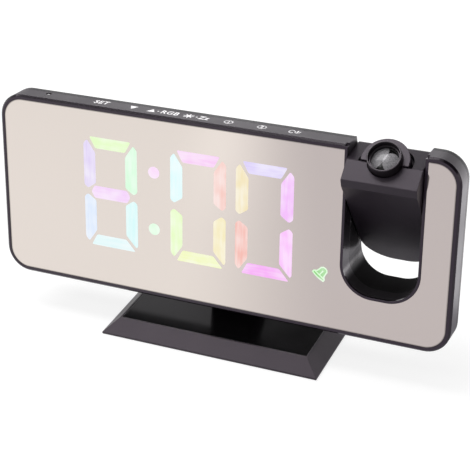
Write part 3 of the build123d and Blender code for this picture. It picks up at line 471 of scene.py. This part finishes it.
def softCorners(points, radius, steps=4, most=0.45):
    # The outline with each corner rounded off
    rounded = []
    for k, point in enumerate(points):
        here = Vector(point)
        before = Vector(points[k - 1]) - here
        after = Vector(points[(k + 1) % len(points)]) - here
        cut = min(radius, before.length * most, after.length * most)
        start, end = here + before.normalized() * cut, here + after.normalized() * cut
        for s in range(steps + 1):
            t = s / steps
            rounded.append(tuple(start * (1 - t) ** 2 + here * (2 * t * (1 - t)) + end * t**2))
    return rounded


# Light of the display as it stands in the film: one plate for each lit bar
figureLook = {"width": 23.6, "height": 47.25, "stroke": 5.2, "middle": 2.6, "corner": 0.8, "soft": 0.5,
              "hours": -45.5, "tens": -7.5, "minutes": 20.1, "proud": -0.125}
litBars = {
    "hours": {"a": (0.925, 0.995, 0.835), "b": (0.88, 1.0, 0.90), "c": (0.885, 0.99, 0.99),
              "d": (0.92, 0.985, 0.99), "e": (0.90, 0.94, 1.0), "f": (0.915, 0.875, 0.98),
              "g": (0.97, 0.87, 0.99)},
    "tens": {"a": (0.985, 0.855, 0.98), "b": (0.98, 0.85, 0.825), "c": (0.975, 0.94, 0.795),
             "d": (0.965, 0.985, 0.81), "e": (0.93, 0.995, 0.83), "f": (0.905, 0.995, 1.0)},
    "minutes": {"a": (0.90, 0.865, 0.99), "b": (0.97, 0.81, 0.995), "c": (0.99, 0.80, 0.995),
                "d": (0.98, 0.755, 0.98), "e": (0.975, 0.80, 0.77), "f": (0.97, 0.925, 0.80)}}
filmLook = {"rim": (0.86, 0.82, 0.79), "rimShare": 0.55, "pale": 0.35, "deep": -0.25, "cloud": 170.0,
            "streakSpan": (0.75, 1.25), "lengthwise": 90.0, "crosswise": 900.0, "even": 300.0, "rough": 0.2}


def sRgb(colour):
    return [c / 12.92 if c <= 0.04045 else ((c + 0.055) / 1.055) ** 2.4 for c in colour]


def litFilm(name, tint, streaks, look=filmLook):
    # Light through the film: fades at the rim, with faint streaks along the bar
    material, surface = newMaterial(name)
    place = objectPlace()
    stretched = addNode("ShaderNodeMapping", {"Vector": place, "Scale": streaks}).outputs[0]
    mixed = mathOf("ADD", noiseOf(stretched, 1.0, 2.0), noiseOf(place, look["cloud"], 1.0))
    deep, pale = (sRgb([c + (1 - c) * look[way] for c in tint]) for way in ("deep", "pale"))
    tone = mixColour(rangeOf(mixed, 0.0, 1.0, *look["streakSpan"]), deep, pale)
    edge = sRgb([(1 - look["rimShare"]) * c + look["rimShare"] * r for c, r in zip(tint, look["rim"])])
    core = addNode("ShaderNodeAttribute", {}, attribute_name="core").outputs["Fac"]
    feed(surface["Emission Color"], mixColour(core, edge, tone))
    feed(surface["Emission Strength"], 1.0)
    feed(surface["Base Color"], (0.0, 0.0, 0.0))
    feed(surface["Roughness"], look["rough"])
    feed(surface["Specular IOR Level"], 0.0)
    return material


# Corners of a figure's bars, in mm
barLook = {"gap": 0.9, "flatTip": 2.7, "flatRise": 0.5, "footTip": 1.1,
           "sideTop": 3.7, "sideCut": 1.6, "sideSlope": 0.95, "shoulder": 1.9, "waist": 1.1, "sideFoot": 0.3,
           "sideEnd": 2.5, "lowTop": 3.0, "lowCut": 0.7, "lowSlope": 1.3, "middleTip": 8.7, "middleFlat": 7.3}


def barOutlines(figure, bar):
    half, top, stroke = figure["width"] / 2, figure["height"] / 2, figure["stroke"]
    inner = stroke - half
    waist, neck = stroke / 2 + bar["waist"], stroke + bar["shoulder"]
    flat = [(bar["flatTip"] - half, top - bar["flatRise"]), (half - bar["flatTip"], top - bar["flatRise"]),
            (half - stroke, top - stroke), (inner, top - stroke)]
    side = [(-half, top - bar["sideTop"]), (bar["sideCut"] - half, top - bar["gap"] - bar["sideSlope"]),
            (inner, top - neck), (inner, waist), (bar["sideCut"] - half, bar["gap"] + bar["sideFoot"]),
            (-half, bar["sideEnd"])]
    foot = [(bar["flatTip"] - half, bar["flatRise"] - top), (half - bar["footTip"], bar["flatRise"] - top),
            (half - stroke, stroke - top), (inner, stroke - top)]
    low = [(half, bar["lowTop"] - top), (half - bar["lowCut"], bar["gap"] + bar["lowSlope"] - top),
           (-inner, neck - top), (-inner, -waist), (half - bar["sideCut"], -bar["gap"] - bar["sideFoot"]),
           (half, -bar["sideEnd"])]
    tip, end, rise = bar["middleTip"], bar["middleFlat"], stroke / 2
    middle = [(-tip, 0), (-end, rise), (end, rise), (tip, 0), (end, -rise), (-end, -rise)]
    return {"a": flat, "b": [(-a, b) for a, b in side], "c": low, "d": foot, "e": [(a, -b) for a, b in side],
            "f": side, "g": middle}


outlines = barOutlines(figureLook, barLook)
for figure, bars in litBars.items():
    for bar, tint in bars.items():
        shape = [(a + figureLook[figure], b + figureLook["middle"])
                 for a, b in softCorners(outlines[bar], figureLook["corner"])]
        wide, fine = filmLook["lengthwise"], filmLook["crosswise"]
        streaks = (wide, wide, fine) if bar in "adg" else (fine, wide, wide)
        plateFrom("light_%s_%s" % (figure, bar), [shape], onFace, figureLook["proud"],
                  litFilm("lit_%s_%s" % (figure, bar), tint, streaks), soft=figureLook["soft"])

evenly = (filmLook["even"],) * 3
colonLook = {"x": -26.4, "radius": 2.45, "steps": 32,
             "upper": (14.9, (0.99, 0.90, 0.99)), "lower": (-9.0, (0.90, 1.0, 0.905))}
for dot in ("upper", "lower"):
    rise, tint = colonLook[dot]
    shape = disc(colonLook["x"], rise, colonLook["radius"], colonLook["steps"])
    plateFrom("light_colon_" + dot, [shape], onFace, figureLook["proud"],
              litFilm("lit_colon_" + dot, tint, evenly), soft=figureLook["soft"])

# Alarm bell: a bright outline, a rim band and a thinner clapper, over a soft glow
bellLook = {"x": 43.9, "y": -14.1, "size": 5.2, "turn": -38.0, "stroke": 0.56, "line": (0.87, 0.99, 0.85),
            "fill": (0.60, 0.85, 0.55), "soft": 0.3, "lineSoft": 0.12, "lineThick": 0.05, "lineProud": 0.025,
            "band": ((-0.42, -0.24), (0.42, -0.24)), "clapper": ((0.0, -0.22), (0.0, 0.2)),
            "clapperShare": 0.9,
            "half": ((0.0, 0.50), (0.16, 0.46), (0.27, 0.34), (0.30, 0.12), (0.34, -0.10), (0.52, -0.28),
                     (0.52, -0.42), (0.20, -0.47), (0.0, -0.48))}


def bellLine(points, look):
    # Points of an upright bell of size 1, turned and put in their place
    turn = radians(look["turn"])
    x, y, size = look["x"], look["y"], look["size"]
    return [(x + size * (a * cos(turn) - b * sin(turn)), y + size * (a * sin(turn) + b * cos(turn)))
            for a, b in points]


def makeBell(look):
    half = list(look["half"])
    edge = bellLine(half + [(-a, b) for a, b in half[-2::-1]], look)
    plateFrom("bell_glow", [edge[:-1]], onFace, figureLook["proud"],
              litFilm("lit_bell_glow", look["fill"], evenly), soft=look["soft"])
    strokes = strokeOutlines(edge, look["stroke"])
    strokes += strokeOutlines(bellLine(look["band"], look), look["stroke"])
    strokes += strokeOutlines(bellLine(look["clapper"], look), look["stroke"] * look["clapperShare"])
    plateFrom("bell_line", strokes, onFace, figureLook["proud"] + look["lineProud"],
              litFilm("lit_bell_line", look["line"], evenly), look["lineThick"], look["lineSoft"])


makeBell(bellLook)
print("display lit")

# White marks printed along the top, each in front of its key; places and sizes in mm
printLook = {"depth": 4.8, "size": 4.0, "wide": 0.93, "tall": 1.18, "spacing": 1.10, "bolder": 0.10,
             "proud": 0.012, "set": -51.3, "setDepth": 0.3, "down": -37.4, "up": -29.1, "arrow": (1.7, 1.6),
             "colour": -21.5, "snooze": -7.2, "dot": 0.42, "dotSteps": 10, "upDot": -26.5, "sunDot": -10.2}
sunLook = {"x": -13.5, "disc": 1.1, "rays": 8, "ray": (1.3, 2.15), "stroke": 0.46}
alarmLook = {"marks": (("print_alarm_one", 3.05, "1"), ("print_alarm_two", 16.65, "2")), "dial": (1.68, 1.5),
             "stroke": 0.50, "foot": (0.5, -1.65), "footStroke": 0.55, "digit": 2.3, "digitDepth": 0.1}
projectorLook = {"ringX": 28.6, "ring": 0.98, "ringArc": (50, 310), "ringStroke": 0.62, "tall": 1.45,
                 "cupX": 30.8, "cup": 1.0, "cupArc": (170, 370), "cupStroke": 0.55, "cupDepth": 0.5,
                 "pin": (-0.7, 1.4), "pinStroke": 0.58}
row = printLook["depth"]


def printText(name, words, u, v, size):
    curve = bpy.data.curves.new(name, "FONT")
    curve.body = words
    curve.size = size * mm
    curve.align_x = "CENTER"
    curve.align_y = "CENTER"
    curve.extrude = printLook["proud"] / 2 * mm
    curve.space_character = printLook["spacing"]
    curve.offset = printLook["bolder"] * mm
    maker = bpy.data.objects.new(name + "_curve", curve)
    bpy.context.scene.collection.objects.link(maker)
    mesh = bpy.data.meshes.new_from_object(maker)
    bpy.data.objects.remove(maker)
    turn = Matrix((right, -out, up)).transposed().to_4x4()
    shape = Matrix.Diagonal((printLook["wide"], printLook["tall"], 1.0, 1.0))
    mesh.transform(Matrix.Translation(onTop(u, v, printLook["proud"] / 2)) @ turn @ shape)
    pieceOf(name, mesh, inkWhite)


def printShapes(name, shapes):
    plateFrom(name, shapes, onTop, printLook["proud"], inkWhite, printLook["proud"])


def arrow(u, way):
    half, tall = printLook["arrow"]
    return [(u - half, row + way * tall), (u, row - way * tall), (u + half, row + way * tall)]


def smallDot(u):
    return disc(u, row, printLook["dot"], printLook["dotSteps"])


def sunShapes(look):
    rays = []
    for k in range(look["rays"]):
        turn = 2 * pi * k / look["rays"]
        ray = [(look["x"] + r * cos(turn), row + r * sin(turn)) for r in look["ray"]]
        rays += strokeOutlines(ray, look["stroke"])
    return [disc(look["x"], row, look["disc"])] + rays


def alarmShapes(u, look):
    wide, tall = look["dial"]
    half, depth = look["foot"]
    dial = [(u + a * wide, row + b * tall) for a, b in disc(0, 0, 1.0)]
    foot = [(u + a, row + depth) for a in (-half, half)]
    return strokeOutlines(dial + dial[:1], look["stroke"]) + strokeOutlines(foot, look["footStroke"])


def projectorShapes(look):
    ring = [(x, y * look["tall"] + row) for x, y in arcLine(look["ringX"], 0, look["ring"], *look["ringArc"])]
    cup = [(x, y * look["tall"] + row + look["cupDepth"])
           for x, y in arcLine(look["cupX"], 0, look["cup"], *look["cupArc"])]
    pin = [(look["cupX"], row + v) for v in look["pin"]]
    return (strokeOutlines(ring, look["ringStroke"]) + strokeOutlines(cup, look["cupStroke"])
            + strokeOutlines(pin, look["pinStroke"]))


printText("print_set", "SET", printLook["set"], row + printLook["setDepth"], printLook["size"])
printShapes("print_down", [arrow(printLook["down"], 1)])
printShapes("print_up", [arrow(printLook["up"], -1), smallDot(printLook["upDot"])])
printText("print_colour", "RGB", printLook["colour"], row, printLook["size"])
printShapes("print_sun", sunShapes(sunLook) + [smallDot(printLook["sunDot"])])
printText("print_snooze", "Zz", printLook["snooze"], row, printLook["size"])
for name, u, digit in alarmLook["marks"]:
    printShapes(name, alarmShapes(u, alarmLook))
    printText(name + "_mark", digit, u, row + alarmLook["digitDepth"], alarmLook["digit"])
printShapes("print_projector", projectorShapes(projectorLook))
print("marks printed")

# Clear dome of the light sensor, seated in its hole; its pale colour is a painted highlight
domeLook = {"x": -75.6, "depth": 5.62, "radius": 0.74, "rim": -0.6, "rise": 0.55, "foot": -2.05, "rings": 6,
            "sides": 28}


def makeDome(look):
    mesh = bpy.data.meshes.new("sensor_dome")
    work = bmesh.new()
    rings = [(look["radius"], look["foot"])]
    for k in range(look["rings"]):
        turn = k / look["rings"] * pi / 2
        rings.append((look["radius"] * cos(turn), look["rim"] + look["rise"] * sin(turn)))
    x, y = look["x"], look["depth"]
    loops = [[work.verts.new(onTop(a, b, rise)) for a, b in disc(x, y, radius, look["sides"])]
             for radius, rise in rings]
    crown = work.verts.new(onTop(x, y, look["rim"] + look["rise"]))
    for k in range(look["sides"]):
        n = (k + 1) % look["sides"]
        for low, high in zip(loops, loops[1:]):
            work.faces.new((low[k], low[n], high[n], high[k])).smooth = True
        work.faces.new((loops[-1][k], loops[-1][n], crown)).smooth = True
    work.faces.new(loops[0][::-1])
    bmesh.ops.recalc_face_normals(work, faces=work.faces)
    work.to_mesh(mesh)
    work.free()
    pieceOf("sensor_dome", mesh, sensorPaintedHighlight)


makeDome(domeLook)
print("sensor's dome made")

# Camera
cameraLook = {"aim": (0.2, -6.45, 55.14), "distance": 543.789, "azimuth": 25.337, "elevation": 28.769,
              "roll": -2.638, "lens": 108.2, "sensor": 36.0, "shiftX": 0.0408, "shiftY": -0.0356,
              "near": 0.01, "far": 30.0}


def makeCamera(look):
    a, e, r = (radians(look[key]) for key in ("azimuth", "elevation", "roll"))
    back = Vector((sin(a) * cos(e), -cos(a) * cos(e), sin(e)))
    level = (-back).cross(Vector((0, 0, 1))).normalized()
    above = level.cross(-back)
    across = level * cos(r) + above * sin(r)
    upward = above * cos(r) - level * sin(r)
    data = bpy.data.cameras.new("camera")
    data.lens = look["lens"]
    data.sensor_width = look["sensor"]
    data.shift_x, data.shift_y = look["shiftX"], look["shiftY"]
    data.clip_start, data.clip_end = look["near"], look["far"]
    camera = bpy.data.objects.new("camera", data)
    turn = Matrix((across, upward, back)).transposed().to_4x4()
    camera.matrix_world = Matrix.Translation(Vector(look["aim"]) * mm + back * look["distance"] * mm) @ turn
    bpy.context.scene.collection.objects.link(camera)
    bpy.context.scene.camera = camera


makeCamera(cameraLook)

# Stage: pale floor, white room and soft lamps. In reflections the floor's near side is a little deeper on
# the right, with a faint pale band, and the room is darker above the backdrop.
floorLook = {"side": 6.0, "albedo": 0.30, "shown": 0.80, "mirrored": 0.72, "shadeFrom": -20.0,
             "shadeTo": 60.0, "shade": (0.574, 0.55, 0.598), "slant": 0.3845, "far": (-0.30, -0.15),
             "farBand": 0.12, "band": 45.0, "bandShift": 3.0, "bandLift": 0.10}
roomLook = {"fill": 0.45, "backdrop": 1.0, "backdropTop": (0.34, 0.46), "skyLeft": 0.6, "skyRight": 0.03,
            "skyWay": (0.914, 0.407), "skyEdge": (-0.045, 0.02)}


def smoothOf(value, low, high, fromLow, fromHigh):
    return rangeOf(value, low, high, fromLow, fromHigh, "SMOOTHSTEP")


def raysThatShow():
    # 1 where the camera sees the stage, straight or through glass, and 1 where it is mirrored
    ray = addNode("ShaderNodeLightPath", {})
    seen = mathOf("MAXIMUM", ray.outputs["Is Camera Ray"], ray.outputs["Is Transmission Ray"])
    return seen, ray.outputs["Is Glossy Ray"]


def makeFloor(look):
    mesh = bpy.data.meshes.new("floor")
    half = look["side"] / 2
    corners = [(-half, -half, 0), (half, -half, 0), (half, half, 0), (-half, half, 0)]
    mesh.from_pydata(corners, [], [(0, 1, 2, 3)])
    floor = bpy.data.objects.new("floor", mesh)
    bpy.context.scene.collection.objects.link(floor)
    material, surface = newMaterial("paleFloor")
    mesh.materials.append(material)
    seen, mirrored = raysThatShow()
    spot = addNode("ShaderNodeSeparateXYZ", {0: objectPlace()}).outputs
    slanted = mathOf("SUBTRACT", spot[0], mathOf("MULTIPLY", spot[1], look["slant"]))
    shaded = smoothOf(slanted, 0.0, 1.0, look["shadeFrom"] * mm, look["shadeTo"] * mm)
    far = rangeOf(spot[1], 1.0, 0.0, *look["far"])
    off = mathOf("ABSOLUTE", mathOf("ADD", slanted, look["bandShift"] * mm))
    band = smoothOf(off, 0.0, look["bandLift"], look["band"] * mm, 0.0)
    lift = mathOf("MULTIPLY", band, rangeOf(far, look["farBand"], 1.0))
    tone = mixColour(shaded, (1.0, 1.0, 1.0), look["shade"])
    level = mathOf("ADD", mathOf("MULTIPLY", seen, look["shown"]),
                   mathOf("MULTIPLY", mirrored, mathOf("ADD", lift, look["mirrored"])))
    feed(surface["Base Color"], (look["albedo"],) * 3)
    feed(surface["Roughness"], 1.0)
    feed(surface["Specular IOR Level"], 0.0)
    feed(surface["Emission Color"], mixColour(mirrored, (1.0, 1.0, 1.0), tone))
    feed(surface["Emission Strength"], level)


def makeRoom(look):
    world = bpy.data.worlds.new("room")
    bpy.context.scene.world = world
    world.use_nodes = True
    workOn(world.node_tree)
    seen, mirrored = raysThatShow()
    way = addNode("ShaderNodeTexCoord", {}).outputs["Generated"]
    way = addNode("ShaderNodeSeparateXYZ", {0: way}).outputs
    across = mathOf("ADD", *[mathOf("MULTIPLY", way[k], share) for k, share in enumerate(look["skyWay"])])
    sky = smoothOf(across, look["skyLeft"], look["skyRight"], *look["skyEdge"])
    high = smoothOf(way[2], 0.0, 1.0, *look["backdropTop"])
    backdrop = mathOf("MULTIPLY", mathOf("SUBTRACT", 1.0, high), look["backdrop"])
    mirrorTone = mathOf("MULTIPLY", mirrored, mathOf("ADD", backdrop, mathOf("MULTIPLY", high, sky)))
    unseen = mathOf("SUBTRACT", 1.0, mathOf("MAXIMUM", seen, mirrored))
    plain = mathOf("MAXIMUM", seen, mathOf("MULTIPLY", look["fill"], unseen))
    background = tree["nodes"]["Background"].inputs
    feed(background["Color"], (1.0, 1.0, 1.0))
    feed(background["Strength"], mathOf("ADD", plain, mirrorTone))


lampLooks = {
    "topLamp": {"at": (-0.36, 0.07, 0.90), "aim": (0.0, 0.0, 0.05), "size": (0.5, 0.9), "power": 6.4},
    "frontLamp": {"at": (-0.42, -0.53, 0.80), "aim": (0.0, 0.0, 0.05), "size": (0.3, 0.3), "power": 0.9},
    "backLamp": {"at": (-0.30, 1.05, 0.38), "aim": (0.0, 0.0, 0.10), "size": (0.60, 0.20), "power": 0.60},
    "sideCard": {"at": (0.33, 0.42, 0.002), "aim": (0.33, 0.42, 1.0), "size": (0.45, 0.75), "power": 1.7},
    "rearCard": {"at": (0.60, 0.80, 0.16), "aim": (0.05, 0.0, 0.10), "size": (0.55, 0.34), "power": 0.35}}


def makeLamp(name, look):
    data = bpy.data.lights.new(name, "AREA")
    data.shape = "RECTANGLE"
    data.size, data.size_y = look["size"]
    data.energy = look["power"]
    lamp = bpy.data.objects.new(name, data)
    lamp.location = look["at"]
    lamp.visible_camera = False
    lamp.rotation_mode = "QUATERNION"
    lamp.rotation_quaternion = (Vector(look["aim"]) - Vector(look["at"])).to_track_quat("-Z", "Y")
    bpy.context.scene.collection.objects.link(lamp)


makeFloor(floorLook)
makeRoom(roomLook)
for name, look in lampLooks.items():
    makeLamp(name, look)
bpy.context.scene.view_settings.view_transform = "Standard"
print("camera, stage and lamps made")
